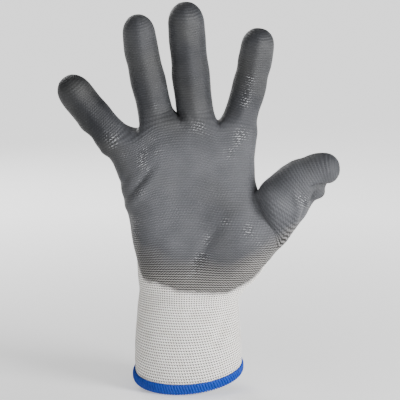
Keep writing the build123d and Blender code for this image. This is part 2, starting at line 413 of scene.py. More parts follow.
def half_width_at(s, widths):
    """Half the width at a length along a tube, from a table of lengths and widths."""
    return np.interp(s, *widths) / 2


def film_cover(line, s, angle, half, film):
    """How far inside the film's edge a place on a tube is."""
    turn, closed_tip = film
    off = abs((angle + math.pi) % (2 * math.pi) - math.pi)
    return max((rad(turn) - off) * half, min(s - (line.length - closed_tip), COVER_TUBE))


def tube_rows(line, start, tip_half, widths):
    """The rows of a tube: length along it, half width, and how much the round tip narrows it."""
    straight = line.length - tip_half
    count = round((straight - start) / ROW)
    for k in range(1, count + 1):
        s = start + (straight - start) * k / count
        yield s, half_width_at(s, widths), 1.0
    for turn in DOME_TURNS:
        yield straight + tip_half * math.sin(rad(turn)), tip_half, math.cos(rad(turn))


def build_tube(name, ring, course, start, angles, widths, tip_half, style):
    """The rows of a finger or the thumb on from a ring, and its closed tip."""
    line = LINES[name]
    depth, film, ridge, wales, first, counts = style
    for s, half, share in tube_rows(line, start, tip_half, widths):
        previous, ring = ring, []
        for angle in angles:
            high = 1 + ridge * (math.cos(angle) > math.cos(rad(RIDGE_TURN)))
            point = tube_point(line, s, angle, half * share, half * share * depth * high)
            ring.append(cage.add(point, film_cover(line, s, angle, half, film)))
        join_rings(previous, ring, course, piece_at(name, s - 0.5 * ROW), wales, first)
        course += COURSES_PER_ROW
    inner = dome(line, angles, tip_half, depth, counts)
    cap(ring, counts, inner, course, f"{name}_tip", wales, first)


def build_finger(number, name, rings, webs):
    """A finger on the knuckle ring."""
    width, line = FINGERS[name]["width"], LINES[name]
    first, back = FRONT * number, FRONT * (7 - number) + SIDE
    ring = rings[-1][first : first + FRONT + 1] + webs[number + 1]
    ring += rings[-1][back : back + FRONT + 1] + webs[number][::-1]
    angles = [rad(360 / ROUND_FINGER * (k - FRONT / 2)) for k in range(ROUND_FINGER)]
    middles = (line.joints[:-1] + line.joints[1:]) / 2
    widths = np.sort([*line.joints, *middles]), width * np.array(FINGER_SHAPE)
    tip_half = half_width_at(line.length - width * 0.45, widths)
    wales, counts = WALES_PER_COLUMN, (FRONT, SIDE)
    style = FINGER_DEPTH, FINGER_FILM, FINGER_RIDGE, wales, first * wales, counts
    course = PALM_ROWS * COURSES_PER_ROW
    build_tube(name, ring, course, 0.0, angles, widths, tip_half, style)


def piece_at(name, s):
    """The piece that a length along a finger belongs to."""
    cuts = LINES[name].cuts()
    parts = ("root", "middle", "tip") if len(cuts) == 2 else ("root", "tip")
    return f"{name}_{parts[sum(s > cut for cut in cuts)]}"


def build_webs(rings):
    """The points between front and back at each side of each finger root."""
    top = rings[-1]
    webs = [[top[-1], top[-2]]]
    for number in (1, 2, 3):
        front = cage.points[top[FRONT * number]]
        back = cage.points[top[2 * 4 * FRONT + SIDE - FRONT * number]]
        web = []
        for k in range(1, SIDE):
            share = k / SIDE
            point = front * (1 - share) + back * share
            point[2] += WEB_RISE
            web.append(cage.add(point, COVER_WEB[k - 1]))
        webs.append(web)
    webs.append([top[4 * FRONT + 1], top[4 * FRONT + 2]])
    return webs


def hole_ring(rings):
    """The points round the thumb's hole, and their neighbours one step away from it."""
    rows, columns = THUMB_COLUMNS
    top, right = HOLE_ROW + rows, HOLE_COLUMN + columns
    low = [(HOLE_ROW, HOLE_COLUMN + k, -1, 0) for k in range(columns)]
    low += [(HOLE_ROW + k, right, 0, 1) for k in range(rows)]
    low += [(top, right - k, 1, 0) for k in range(columns)]
    low += [(top - k, HOLE_COLUMN, 0, -1) for k in range(rows)]
    inner = [rings[row][column] for row, column, up, across in low]
    outer = [rings[row + up][column + across] for row, column, up, across in low]
    return inner, outer


def curve(start, leaving, end, arriving, t):
    """A place at share t of the smooth curve between two places with given directions."""
    from_start = start * (2 * t**3 - 3 * t**2 + 1) + leaving * (t**3 - 2 * t**2 + t)
    return from_start + end * (3 * t**2 - 2 * t**3) + arriving * (t**3 - t**2)


def build_thumb(rings):
    """The thumb, out of the hole in the palm's side. The hole's edge runs upwards on the front."""
    line, start = LINES["thumb"], THUMB_TUBE_START
    hole, outer = hole_ring(rings)
    way, side = line.way(start), line.side(start)
    front = np.cross(side, way)
    offs = [cage.points[index] - line.place(start) for index in hole]
    turns = np.array([math.atan2(off @ side, off @ front) for off in offs])
    steps = np.arange(len(hole)) * 2 * math.pi / len(hole)
    angles = np.angle(np.exp(1j * (turns - steps)).sum()) + steps
    half = half_width_at(start, THUMB_WIDTHS)
    ring, course = hole, 0.0
    for t in np.arange(1, THUMB_BLENDS + 1) / THUMB_BLENDS:
        previous, ring = ring, []
        for index, beyond, angle in zip(hole, outer, angles):
            place = cage.points[index]
            target = tube_point(line, start, angle, half, half * THUMB_DEPTH)
            gap = np.linalg.norm(target - place)
            leaving = unit(place - cage.points[beyond]) * gap
            cover = film_cover(line, start, angle, half, THUMB_FILM)
            cover = cage.cover[index] * (1 - t) + cover * t
            ring.append(cage.add(curve(place, leaving, target, way * gap, t), cover))
        join_rings(previous, ring, course, "thumb_root", THUMB_WALES_PER_COLUMN)
        course += COURSES_PER_ROW
    tip_half = half_width_at(line.length - THUMB_TIP, THUMB_WIDTHS)
    style = THUMB_DEPTH, THUMB_FILM, 0.0, THUMB_WALES_PER_COLUMN, 0.0, THUMB_COLUMNS[::-1]
    build_tube("thumb", ring, course, start, angles, THUMB_WIDTHS, tip_half, style)


def cuff_frame(share):
    """Middle, side and back way of the cuff at a share of the height from hem to wrist line."""
    low = 1 - share
    tilt, roll = rad(HEM_TILT * low), rad(HEM_ROLL * low)
    place = np.array([0.0, HAND_Y * (1 - low**2), WRIST_Z * share - HEM_DROP * low**2])
    side = np.array([math.cos(roll), 0.0, math.sin(roll)])
    back = np.array([0.0, math.cos(tilt), math.sin(tilt)])
    return place, side, back


def cuff_ring(share, count=ROUND_PALM, first=2 * FRONT, out=0.0):
    """One ring of the cuff at a share of its height, 0 at the hem and 1 at the wrist."""
    place, side, back_way = cuff_frame(share)
    bulge = CUFF_BULGE * math.sin(math.pi * share)
    half_width = HEM_HALF[0] + (WRIST_HALF[0] - HEM_HALF[0]) * share + bulge + out
    half_depth = HEM_HALF[1] + (WRIST_HALF[1] - HEM_HALF[1]) * share + bulge + out
    across, back = even_oval(half_width, half_depth, 2.0, count, first)
    return place + np.outer(across, side) + np.outer(back, back_way)


def build_cuff(rings):
    """The cuff's rows, down from the lowest ring of the palm to the hem."""
    previous = rings[0]
    top = WRIST_LINE / WRIST_Z
    course = 0.0
    for row in range(1, CUFF_ROWS + 1):
        share = top * (1 - row / CUFF_ROWS)
        if share > 1:
            up = (share - 1) / (top - 1)
            palm_points = np.array([cage.points[k] for k in rings[0]])
            points = cuff_ring(1.0) * (1 - up) + palm_points * up
        else:
            points = cuff_ring(share)
        ring = [cage.add(point, COVER_CUFF) for point in points]
        course -= CUFF_COURSES_PER_ROW
        height = WRIST_Z * share
        name = "wrist" if height > CUFF_TOP else "cuff"
        for column in range(ROUND_PALM):
            join(ring, previous, column, course, name, step=CUFF_COURSES_PER_ROW)
        previous = ring


rings = build_palm()
webs = build_webs(rings)
for number, name in enumerate(FINGERS):
    build_finger(number, name, rings, webs)
build_thumb(rings)
build_cuff(rings)


# ---- subdividing
def linked(name, data):
    obj = bpy.data.objects.new(name, data)
    bpy.context.scene.collection.objects.link(obj)
    return obj


def read(data, key, width=1, kind=np.float32):
    """All values of a mesh layer, in rows of `width` numbers."""
    values = np.zeros(len(data) * width, kind)
    data.foreach_get(key, values)
    return values.reshape(-1, width) if width > 1 else values


def write(data, key, values, kind=np.float32):
    data.foreach_set(key, np.asarray(values, kind).ravel())


def add_attribute(mesh, name, values, kind="FLOAT", domain="POINT"):
    layer = mesh.attributes.new(name, kind, domain)
    write(layer.data, "value", values, np.float32 if kind == "FLOAT" else np.int32)


def cage_object():
    mesh = bpy.data.meshes.new("cage")
    mesh.from_pydata([tuple(p) for p in cage.points], [], cage.quads)
    write(mesh.uv_layers.new(name="Knit").data, "uv", cage.knit)
    add_attribute(mesh, "cover", cage.cover)
    add_attribute(mesh, "piece", cage.piece, "INT", "FACE")
    return linked("cage", mesh)


class Surface:
    """The subdivided cage as arrays."""

    def __init__(self, obj, levels):
        modifier = obj.modifiers.new("Subdivide", "SUBSURF")
        modifier.levels = modifier.render_levels = levels
        modifier.uv_smooth = "NONE"
        mesh = bpy.data.meshes.new_from_object(
            obj.evaluated_get(bpy.context.evaluated_depsgraph_get())
        )
        obj.modifiers.remove(modifier)
        self.points = read(mesh.vertices, "co", 3).astype(float)
        self.normals = read(mesh.vertex_normals, "vector", 3).astype(float)
        self.quads = read(mesh.loops, "vertex_index", kind=np.int32).reshape(-1, 4)
        self.knit = read(mesh.uv_layers["Knit"].data, "uv", 2).reshape(-1, 4, 2)
        self.piece = read(mesh.attributes["piece"].data, "value", kind=np.int32)
        self.cover = read(mesh.attributes["cover"].data, "value")
        self.wale, self.course = np.zeros((2, len(self.points)))
        self.wale[self.quads] = self.knit[:, :, 0]
        self.course[self.quads] = self.knit[:, :, 1]
        bpy.data.meshes.remove(mesh)

    def normals_now(self, points):
        """Normals of the quads' points after they have moved."""
        first, second, third, fourth = (points[self.quads[:, k]] for k in range(4))
        face = np.cross(third - first, fourth - second)
        total = np.zeros_like(points)
        for k in range(4):
            np.add.at(total, self.quads[:, k], face)
        return total / np.maximum(np.linalg.norm(total, axis=1, keepdims=True), 1e-12)


cage_obj = cage_object()


def new_mesh(name, points, quads, knit=None, normals=None, attributes=None):
    mesh = bpy.data.meshes.new(name)
    mesh.vertices.add(len(points))
    write(mesh.vertices, "co", points * MM)
    mesh.loops.add(quads.size)
    write(mesh.loops, "vertex_index", quads, np.int32)
    mesh.polygons.add(len(quads))
    write(mesh.polygons, "loop_start", np.arange(0, quads.size, 4), np.int32)
    mesh.update(calc_edges=True)
    write(mesh.polygons, "use_smooth", np.ones(len(quads)), bool)
    if knit is not None:
        write(mesh.uv_layers.new(name="Knit").data, "uv", knit)
    for key, value in (attributes or {}).items():
        add_attribute(mesh, key, value)
    if normals is not None:
        mesh.normals_split_custom_set_from_vertices(normals)
    return linked(name, mesh)


def part_of(name, layers, attributes):
    """One mesh of some quads from each layer: (surface, chosen quads, points, normals, flip)."""
    parts, first = [], 0
    for surface, chosen, points, normals, flip in layers:
        used, inverse = np.unique(surface.quads[chosen], return_inverse=True)
        quads, knit = inverse.reshape(-1, 4) + first, surface.knit[chosen]
        looks = [value[used] for value in attributes.values()]
        if flip:
            quads, knit, normals = quads[:, ::-1], knit[:, ::-1], -normals
            looks = [np.full(len(used), COVER_INSIDE)] * len(looks)
        parts.append([points[used], quads, knit, normals[used], *looks])
        first += len(used)
    points, quads, knit, normals, *looks = (np.concatenate(column) for column in zip(*parts))
    return new_mesh(name, points, quads, knit, normals, dict(zip(attributes, looks)))


# ---- surface work
def stitch_height(wale, course):
    """Plain knit from its face side: courses as ridges, with two slanting legs in a stitch."""
    leg = 0.6 + 0.4 * np.abs(np.sin(2 * np.pi * wale))
    slant = STITCH_SLANT * np.abs(2 * (wale % 1.0) - 1)
    return leg * (0.5 + 0.5 * np.cos(2 * np.pi * (course + slant)))


def value_noise(points, size, seed):
    """Smooth noise from -1 to 1 that changes over about `size` millimetres."""
    cell = points / size + seed * 7.31
    base = np.floor(cell)
    part = cell - base
    part = part * part * (3 - 2 * part)
    total = np.zeros(len(points))
    for corner in itertools.product((0, 1), repeat=3):
        mixed = np.sin((base + corner) @ (127.1, 311.7, 74.7)) * 43758.5453
        value = 2 * (mixed - np.floor(mixed)) - 1
        total += value * np.where(corner, part, 1 - part).prod(axis=1)
    return total


# Lower edge of the film on the palm: across and up, from the little finger's side.
FILM_EDGE = (
    *((-70, 66), (-31.5, 67), (-28.6, 59.5), (-17, 57.5), (-8.5, 54.5), (5.5, 52.8), (27, 52.2)),
    *((33.5, 55.5), (42, 61), (49, 69), (56, 72), (70, 74)),
)
FILM_EDGE_TOP = 95.0  # above this height only the sides bound the film
FILM_EDGE_SIDE = -15.0  # past this place to the back, the lower edge rises
FILM_EDGE_RISE = 1.3  # by this slope
SOAK = 4.5  # the film soaks this far into the knit past its edge
THIN_HEIGHT = 30.0  # the film gets thicker over this height above its lower edge

KNIT_RELIEF = 0.26  # height of the stitches on bare knit
PRESSED_IN = 0.1  # how far the knit lies back under the film
LINER_GAP = 0.2  # the inside lies this much deeper than the knit is thick
TUCKED_IN = 0.5  # past its edge the film dives this far under the knit
CREASE_DEPTH = 0.2  # across the front of a finger at each joint
CREASE_HALF = 2.4  # half its width
CREASE_REACH = 0.85  # it ends this far from the joint, as a share of the finger's width
FILM_RELIEF = 0.03  # how much the stitches show through thick film,
THIN_RELIEF = 0.16  # how much more where it is thinnest,
UNEVEN = 0.03  # and how much that changes from place to place


# Folds on the palm side: places across and up, half width, and depth (a ridge if negative).
FOLDS = (
    (((24, 102), (12, 83), (6, 72), (-1, 56)), 4.2, 1.1),  # below the ball of the thumb
    (((-49, 100), (-35, 114), (-17, 137)), 2.4, 1.3),  # from the palm's edge to the ring finger
    (((-48, 95), (-32, 110), (-15, 132)), 3.0, -0.9),
    (((-38, 78), (-37, 92), (-35, 108)), 3.0, 1.1),
    (((-30, 56), (-26, 70), (-27, 84)), 4.0, 0.6),
    (((-46, 116), (-41, 120), (-36, 127)), 1.8, 1.0),
    (((-14, 150), (-25, 143), (-36, 137)), 3.4, 0.6),  # crease under the small fingers
    (((-7, 165), (-4, 158), (3, 154)), 2.0, 1.0),  # pinched cloth between two fingers
    (((-3, 167), (0.5, 160), (5, 156)), 1.6, -0.7),
    (((47, 114), (42, 106), (37, 94)), 4.0, 0.4),  # round the root of the thumb
    (((43, 124), (53, 101), (63, 72)), 7.0, -2.8),
    (((92, 118), (83, 119.5), (73, 119)), 1.7, 2.6),  # pinched cloth under the thumb's pad
    (((82, 120), (78.5, 113), (77, 104)), 1.6, 2.0),
    (((66, 120), (69, 106), (66, 91)), 2.2, -1.3),
    (((71, 116), (73, 104), (69, 90)), 2.2, 1.2),
    (((28, 45), (22, 28), (13, 9)), 3.0, 1.0),  # slack cloth on the cuff
)
# Places where glints are painted on the film's stitch peaks and its stitch valleys are painted
# darker: paths, and half width.
PAINTED_HIGHLIGHT_PLACES = (
    (((-36, 80), (-35, 100), (-30, 122), (-25, 140)), 5.0),
    (((-19, 146), (-24, 134)), 4.0),
    (((-1, 152), (8, 156), (14, 150)), 3.5),
    (((33, 150), (28, 140)), 4.5),
    (((-47, 148), (-38, 138)), 4.5),
    (((14, 98), (13, 86), (8, 74), (3, 64)), 4.0),
    (((24, 97), (17, 89)), 2.6),
    (((46, 84), (38, 92)), 4.0),
    (((70, 112), (75, 106)), 3.5),
    (((-21, 166), (-22, 180)), 2.0),
    (((36, 170), (39, 186)), 2.5),
)
# Lumps anywhere on the glove: place, radius and height.
LUMPS = (
    ((84.5, -19, 112.5), 4.0, 2.0),  # loose cloth under the thumb
    ((88.0, -20, 118.5), 3.2, -2.6),
    ((80.5, -20, 103), 5.5, -2.6),
    ((-62.5, -9, 148), 4.2, -1.8),  # where the little finger's cloth has slipped
    ((-62, -9, 156.5), 5.0, 0.9),
    ((-46, 4, 141), 9.0, 1.4),  # knuckles, on the back
    ((-20, 8, 151), 9.0, 1.6),
    ((6, 8, 154), 9.0, 1.7),
    ((31, 8, 150), 9.0, 1.6),
)


def path_distance(flat, path):
    """Distance from a path, and how far along it the nearest place is, from 0 to 1."""
    best = np.full(len(flat), 1e9)
    along = np.zeros(len(flat))
    path = np.array(path, float)
    steps = np.linalg.norm(np.diff(path, axis=0), axis=1)
    run = np.concatenate([[0], np.cumsum(steps)])
    for start, end, length, before in zip(path[:-1], path[1:], steps, run):
        share = np.clip((flat - start) @ (end - start) / length**2, 0, 1)
        away = np.linalg.norm(flat - start - share[:, None] * (end - start), axis=1)
        nearer = away < best
        best = np.where(nearer, away, best)
        along = np.where(nearer, (before + share * length) / run[-1], along)
    return best, along


def folds_and_lumps(points, normals):
    """How far each point moves out along its normal: folds, lumps and slack in the cloth."""
    move = 0.45 * value_noise(points, 17.0, 1) + 0.2 * value_noise(points, 7.0, 2)
    front = smooth(-normals[:, 1], -0.2, 0.35)
    flat = points[:, (0, 2)]
    for path, wide, deep in FOLDS:
        away, along = path_distance(flat, path)
        fade = smooth(along, 0.0, 0.4) * smooth(1 - along, 0.0, 0.4)
        move -= deep * np.exp(-((away / wide) ** 2)) * front * fade
    for place, radius, height in LUMPS:
        away = np.linalg.norm(points - np.array(place), axis=1)
        move += height * np.exp(-((away / radius) ** 2))
    for name in FINGERS:
        line = LINES[name]
        for joint in line.joints[1:-1]:
            off = points - line.place(joint)
            near = np.linalg.norm(off, axis=1) < CREASE_REACH * FINGERS[name]["width"]
            crease = np.exp(-((off @ line.way(joint) / CREASE_HALF) ** 2))
            move -= CREASE_DEPTH * crease * near * smooth(-normals[:, 1], 0.0, 0.6)
    return move


def highlight_paint_share(points, normals):
    """How much painted glint and painted valley shade the film gets on each stitch, from 0 to 1."""
    flat = points[:, (0, 2)]
    most = np.zeros(len(points))
    for path, wide in PAINTED_HIGHLIGHT_PLACES:
        most = np.maximum(most, np.exp(-((path_distance(flat, path)[0] / wide) ** 2)))
    patchy = smooth(value_noise(points, 6.0, 6), -0.5, 0.4)
    return most * patchy * smooth(-normals[:, 1], 0.0, 0.3)


def film_shade_paint(points):
    """How much painted shade darkens the film: 0 on the palm, 0.8 on the fingers, 1 on the little
    finger's side.
    """
    along = 0.8 * smooth(points[:, 2], 132.0, 178.0)
    aside = smooth(-points[:, 0], 30.0, 56.0)
    thumb = 0.5 * smooth(points[:, 0], 58.0, 88.0) * smooth(points[:, 2], 96.0, 112.0)
    deep = np.maximum(np.maximum(along, aside), thumb)
    for name in ("ring", "middle", "index"):
        tip = LINES[name].place(LINES[name].length - FINGERS[name]["width"] / 2)
        deep *= 1 - 0.3 * np.exp(-((np.linalg.norm(points - tip, axis=1) / 13.0) ** 2))
    return deep


def worked(surface):
    """Moves a surface's points by its folds and lumps, and finds its normals and film again."""
    surface.points += surface.normals * folds_and_lumps(surface.points, surface.normals)[:, None]
    surface.normals = surface.normals_now(surface.points)
    on_front = surface.points[:, 2] < FILM_EDGE_TOP
    edge = between(FILM_EDGE, surface.points[:, 0])
    edge += FILM_EDGE_RISE * np.maximum(0, surface.points[:, 1] - FILM_EDGE_SIDE)
    surface.above = surface.points[:, 2] - edge
    surface.cover = np.where(on_front, np.minimum(surface.cover, surface.above), surface.cover)
    return surface


outer = worked(Surface(cage_obj, LEVELS))
inner = worked(Surface(cage_obj, 1))
inner_points = inner.points - inner.normals * (KNIT + LINER_GAP)

stitches = stitch_height(outer.wale, outer.course)
under_film = smooth(outer.cover, 0.5, 2.0)
knit_lift = KNIT_RELIEF * (stitches - 0.5) * (1 - under_film) - PRESSED_IN * under_film
knit_points = outer.points + outer.normals * knit_lift[:, None]
knit_normals = outer.normals_now(knit_points)

# The film's edge runs in and out between the stitches. It is thinner near the palm's lower
# edge, and there the courses show through it.
ragged = outer.cover + 0.9 * (0.6 - stitches) + 0.7 * value_noise(outer.points, 3.0, 3)
thin = 1 - smooth(outer.above + 6 * value_noise(outer.points, 14.0, 4), 0.0, THIN_HEIGHT)
thin = np.where(outer.points[:, 2] < FILM_EDGE_TOP + 10, thin, 0.0)
relief = FILM_RELIEF + THIN_RELIEF * thin**2 + UNEVEN * value_noise(outer.points, 12.0, 5)
film_lift = FILM * smooth(ragged, -0.2, 1.2) - TUCKED_IN * (1 - smooth(ragged, -1.6, -0.1))
film_lift = film_lift + relief * (stitches - 0.5)
film_points = outer.points + outer.normals * film_lift[:, None]
film_normals = outer.normals_now(film_points)
film_faces = ragged[outer.quads].max(axis=1) > -1.0
FILM_LOOKS = {
    "thin": thin,
    # painted shade on the fingers, the thumb and the little finger's side
    "deep": film_shade_paint(outer.points),
    # where glints and darker stitch valleys are painted on the film
    "highlight_and_valley_paint": highlight_paint_share(outer.points, outer.normals),
}


# ---- materials
class Nodes:
    """A node tree, with a short way to add each kind of node that is used here."""

    def __init__(self, tree):
        self.tree = tree

    def new(self, kind, **settings):
        node = self.tree.nodes.new("ShaderNode" + kind)
        for key, value in settings.items():
            setattr(node, key, value)
        return node

    def put(self, value, socket):
        """Links another node's output to a socket, or sets it to a number or a colour."""
        if isinstance(value, bpy.types.NodeSocket):
            self.tree.links.new(value, socket)
        else:
            socket.default_value = (*value, 1) if isinstance(value, tuple) else value

    def math(self, operation, *values):
        node = self.new("Math", operation=operation)
        for value, socket in zip(values, node.inputs):
            self.put(value, socket)
        return node.outputs[0]

    def scaled(self, value, factor, plus=0.0):
        return self.math("ADD", self.math("MULTIPLY", value, factor), plus)

    def waves(self, value):
        """0 to 1 and back with each whole step of a value, 1 at whole numbers."""
        return self.scaled(self.math("COSINE", self.scaled(value, 2 * math.pi)), 0.5, 0.5)

    def split(self, value):
        node = self.new("SeparateXYZ")
        self.put(value, node.inputs[0])
        return list(node.outputs)

    def ramp(self, value, *stops):
        """A colour ramp of (place, colour) stops."""
        node = self.new("ValToRGB")
        elements = node.color_ramp.elements
        while len(elements) < len(stops):
            elements.new(0.5)
        for element, (place, colour) in zip(elements, stops):
            element.position = place
            element.color = (*colour, 1) if isinstance(colour, tuple) else (colour,) * 3 + (1,)
        self.put(value, node.inputs[0])
        return node.outputs[0]

    def mix(self, share, first, second):
        node = self.new("Mix", data_type="RGBA")
        for number, value in ((0, share), (6, first), (7, second)):
            self.put(value, node.inputs[number])
        return node.outputs[2]

    def noise(self, scale, detail=3.0):
        """Noise in the object's own space; scale is in steps for each metre."""
        node = self.new("TexNoise")
        self.put(scale, node.inputs["Scale"])
        self.put(detail, node.inputs["Detail"])
        self.put(self.new("TexCoord").outputs["Object"], node.inputs["Vector"])
        return node.outputs[0]

    def attribute(self, name):
        return self.new("Attribute", attribute_name=name).outputs["Fac"]


class Material(Nodes):
    """A new material, with the knit's stitches as nodes."""

    def __init__(self, name):
        self.material = bpy.data.materials.new(name)
        self.material.use_nodes = True
        super().__init__(self.material.node_tree)
        self.inputs = self.tree.nodes["Principled BSDF"].inputs

    def shade(self, colour, roughness, specular=0.5):
        self.put(colour, self.inputs["Base Color"])
        self.put(roughness, self.inputs["Roughness"])
        self.inputs["Specular IOR Level"].default_value = specular

    def bump(self, height, distance):
        node = self.new("Bump")
        self.put(0.8, node.inputs["Strength"])
        self.put(distance, node.inputs["Distance"])
        self.put(height, node.inputs["Height"])
        self.put(node.outputs[0], self.inputs["Normal"])

    def knit_place(self):
        """The wale and the course at a place on the knit."""
        return self.split(self.new("UVMap", uv_map="Knit").outputs[0])[:2]

    def stitches(self):
        """stitch_height() as nodes, and the small hole between each stitch and the next."""
        wale, course = self.knit_place()
        leg = self.math("ABSOLUTE", self.math("SINE", self.scaled(wale, 2 * math.pi)))
        off = self.math("ABSOLUTE", self.scaled(self.math("FRACT", wale), 2.0, -1.0))
        slanted = self.math("ADD", course, self.scaled(off, STITCH_SLANT))
        height = self.math("MULTIPLY", self.scaled(leg, 0.4, 0.6), self.waves(slanted))
        lean = self.math("SINE", self.scaled(course, 2 * math.pi))
        across = self.waves(self.math("ADD", wale, self.scaled(lean, 0.09)))
        down = self.waves(self.scaled(slanted, 1.0, 0.5))
        return height, self.math("POWER", self.math("MULTIPLY", across, down), 1.6)


def knit_material():
    """White yarn in plain knit, with painted shade in the low places of its stitches and in the
    holes between them, and grey where the film soaks in.
    """
    make = Material("knit_yarn")
    height, hole = make.stitches()
    fuzz, slub = make.noise(2400.0), make.noise(160.0, 4.0)
    level = make.math("ADD", height, make.scaled(fuzz, 0.5, -0.25))
    # Painted shade: the yarn is painted darker where its stitches are low; the fuzz noise adds
    # random tone.
    stitch_shade_stops = (0.0, (0.66, 0.62, 0.58)), (0.35, (0.83, 0.80, 0.76)), (0.9, (0.92, 0.90, 0.86))
    yarn = make.ramp(level, *stitch_shade_stops)
    worn = make.mix(make.ramp(slub, (0.45, 0.0), (0.75, 0.55)), yarn, (0.70, 0.65, 0.57))
    # Painted shade: the holes between the stitches are painted near black.
    hole_shade_paint = make.mix(make.ramp(hole, (0.07, 0.0), (0.32, 1.0)), worn, (0.055, 0.048, 0.045))
    wet = make.math("ADD", make.attribute("cover"), make.scaled(height, -2.2, SOAK + 0.4))
    wet = make.math("ADD", wet, make.scaled(slub, 4.0, -2.0))
    soaked = make.ramp(make.math("MULTIPLY", wet, 1 / SOAK), (0.1, 0.0), (0.75, 0.92))
    colour = make.mix(soaked, hole_shade_paint, (0.105, 0.10, 0.098))
    make.shade(colour, make.ramp(fuzz, (0.2, 0.75), (0.8, 0.95)))
    make.inputs["Sheen Weight"].default_value = 0.2
    make.inputs["Sheen Roughness"].default_value = 0.4
    make.bump(make.math("SUBTRACT", level, make.scaled(hole, 0.8)), 0.00035)
    return make.material


def film_material():
    """Dipped nitrile: grey, with painted shade on the fingers and the little finger's side, the
    knit showing where it is thin, and painted shade and glints on its stitches.
    """
    make = Material("nitrile_film")
    height = make.stitches()[0]
    thin, deep, highlight_and_valley_paint = (make.attribute(name) for name in FILM_LOOKS)
    mottle, grain = make.noise(75.0, 5.0), make.noise(3000.0)
    grey = make.ramp(mottle, (0.3, (0.064, 0.066, 0.073)), (0.7, (0.085, 0.087, 0.095)))
    dark = make.ramp(mottle, (0.3, (0.009, 0.010, 0.012)), (0.7, (0.016, 0.017, 0.020)))
    stained = make.ramp(make.noise(30.0, 2.0), (0.5, 0.0), (0.8, 0.35))
    # Painted shade: where deep is high the film is painted near black.
    dipped = make.mix(stained, make.mix(deep, grey, dark), (0.080, 0.079, 0.072))
    paler = make.ramp(thin, (0.25, 0.0), (0.9, 0.75))
    soaked = make.mix(paler, dipped, (0.25, 0.24, 0.225))
    # Painted shade: the stitch valleys are painted near black where the film is thin and where
    # glints are painted.
    valley = make.ramp(height, (0.35, 1.0), (0.55, 0.0))
    valley_shade_share = make.math("ADD", thin, make.scaled(highlight_and_valley_paint, 0.3))
    shown = make.math("MULTIPLY", valley, make.ramp(valley_shade_share, (0.0, 0.2), (0.6, 0.95)))
    valley_dark_paint = make.mix(shown, soaked, (0.012, 0.011, 0.011))
    # Painted highlight: light grey dots on the stitch peaks stand in for glints.
    peak = make.ramp(height, (0.55, 0.0), (0.85, 1.0))
    some = make.ramp(make.noise(900.0, 2.0), (0.46, 0.0), (0.58, 1.0))
    painted_highlight = make.math("MULTIPLY", make.math("MULTIPLY", peak, some), highlight_and_valley_paint)
    colour = make.mix(make.scaled(painted_highlight, 0.75), valley_dark_paint, (0.48, 0.49, 0.51))
    make.shade(colour, make.ramp(mottle, (0.3, 0.44), (0.7, 0.56)), 0.18)
    relief = make.math("ADD", height, make.scaled(grain, 0.4))
    make.bump(make.math("MULTIPLY", relief, make.scaled(deep, -0.4, 1.0)), 0.00025)
    return make.material


def overlock_material():
    """Blue overlock thread: strands of plied fibre, darker in random patches."""
    make = Material("blue_thread")
    ply = make.noise(1500.0, 4.0)
    colour = make.ramp(ply, (0.25, (0.001, 0.020, 0.17)), (0.75, (0.003, 0.055, 0.42)))
    darker_patches = make.ramp(make.noise(110.0, 2.0), (0.45, 0.0), (0.8, 0.6))
    colour = make.mix(darker_patches, colour, (0.001, 0.022, 0.19))
    make.shade(colour, make.ramp(ply, (0.2, 0.5), (0.8, 0.75)), 0.25)
    make.bump(ply, 0.0002)
    return make.material


def elastic_material():
    """Covered elastic yarn: off-white filaments wound round a rubber core, with painted shade in
    the grooves between the windings.
    """
    make = Material("covered_elastic")
    wound = make.waves(make.math("ADD", *make.knit_place()))
    # Painted shade: the colour is darker where the winding's bump is low.
    colour = make.ramp(wound, (0.2, (0.50, 0.47, 0.43)), (0.8, (0.78, 0.76, 0.72)))
    make.shade(colour, make.ramp(wound, (0.2, 0.65), (0.8, 0.85)))
    make.bump(wound, 0.00015)
    return make.material


KNIT_MATERIAL = knit_material()
FILM_MATERIAL = film_material()
THREAD_MATERIAL = overlock_material()
ELASTIC_MATERIAL = elastic_material()


# ---- pieces
BLEND_MARGIN = 1.8  # a bend would start and end this far inside a piece's cut edges
ROOT_BLEND = {  # where the bend at each root would start and end along the finger
    "little": (2.2, 7.9),
    "ring": (1.5, 10.8),
    "middle": (1.5, 12.0),
    "index": (1.5, 9.8),
    "thumb": (-5.0, 8.4),
}


def bodies_of(finger):
    """The bodies along a finger, from the palm out."""
    parts = ("base", "tip") if finger == "thumb" else ("base", "middle", "tip")
    return ["palm"] + [f"{finger}_{part}" for part in parts]


def bend_piece(obj, name):
    """Finds where a finger piece's bend across its joint would start and end, between its two cut
    edges, and moves the piece's place into its mesh.
    """
    finger, part = name.rsplit("_", 1)
    line, bodies, cuts = LINES[finger], bodies_of(finger), LINES[finger].cuts()
    number = {"root": 0, "middle": 1, "tip": len(cuts)}[part]
    if part == "root":
        start, end = ROOT_BLEND[finger]
    elif part == "middle":
        start, end = cuts[0] + BLEND_MARGIN, cuts[1] - BLEND_MARGIN
    else:
        start = cuts[-1] + BLEND_MARGIN
        end = 2 * line.joints[number] - start
    places = [tuple(line.place(s) * MM) for s in (start, end)]
    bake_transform(obj)


def set_motion(obj, name):
    """Rides on its body, or keeps its place in its mesh."""
    if name in ("palm", "cuff"):
        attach(obj, name)
    elif name == "wrist":
        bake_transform(obj)
    else:
        bend_piece(obj, name)


def finish_piece(obj, material, slot, motion, *nodes):
    obj.data.materials.append(material)
    set_motion(obj, motion)
    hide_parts(*nodes)


def cad_node(name, layer):
    """The CAD node that a piece stands for."""
    return f"{name.replace('_root', '_base')}_{layer}"


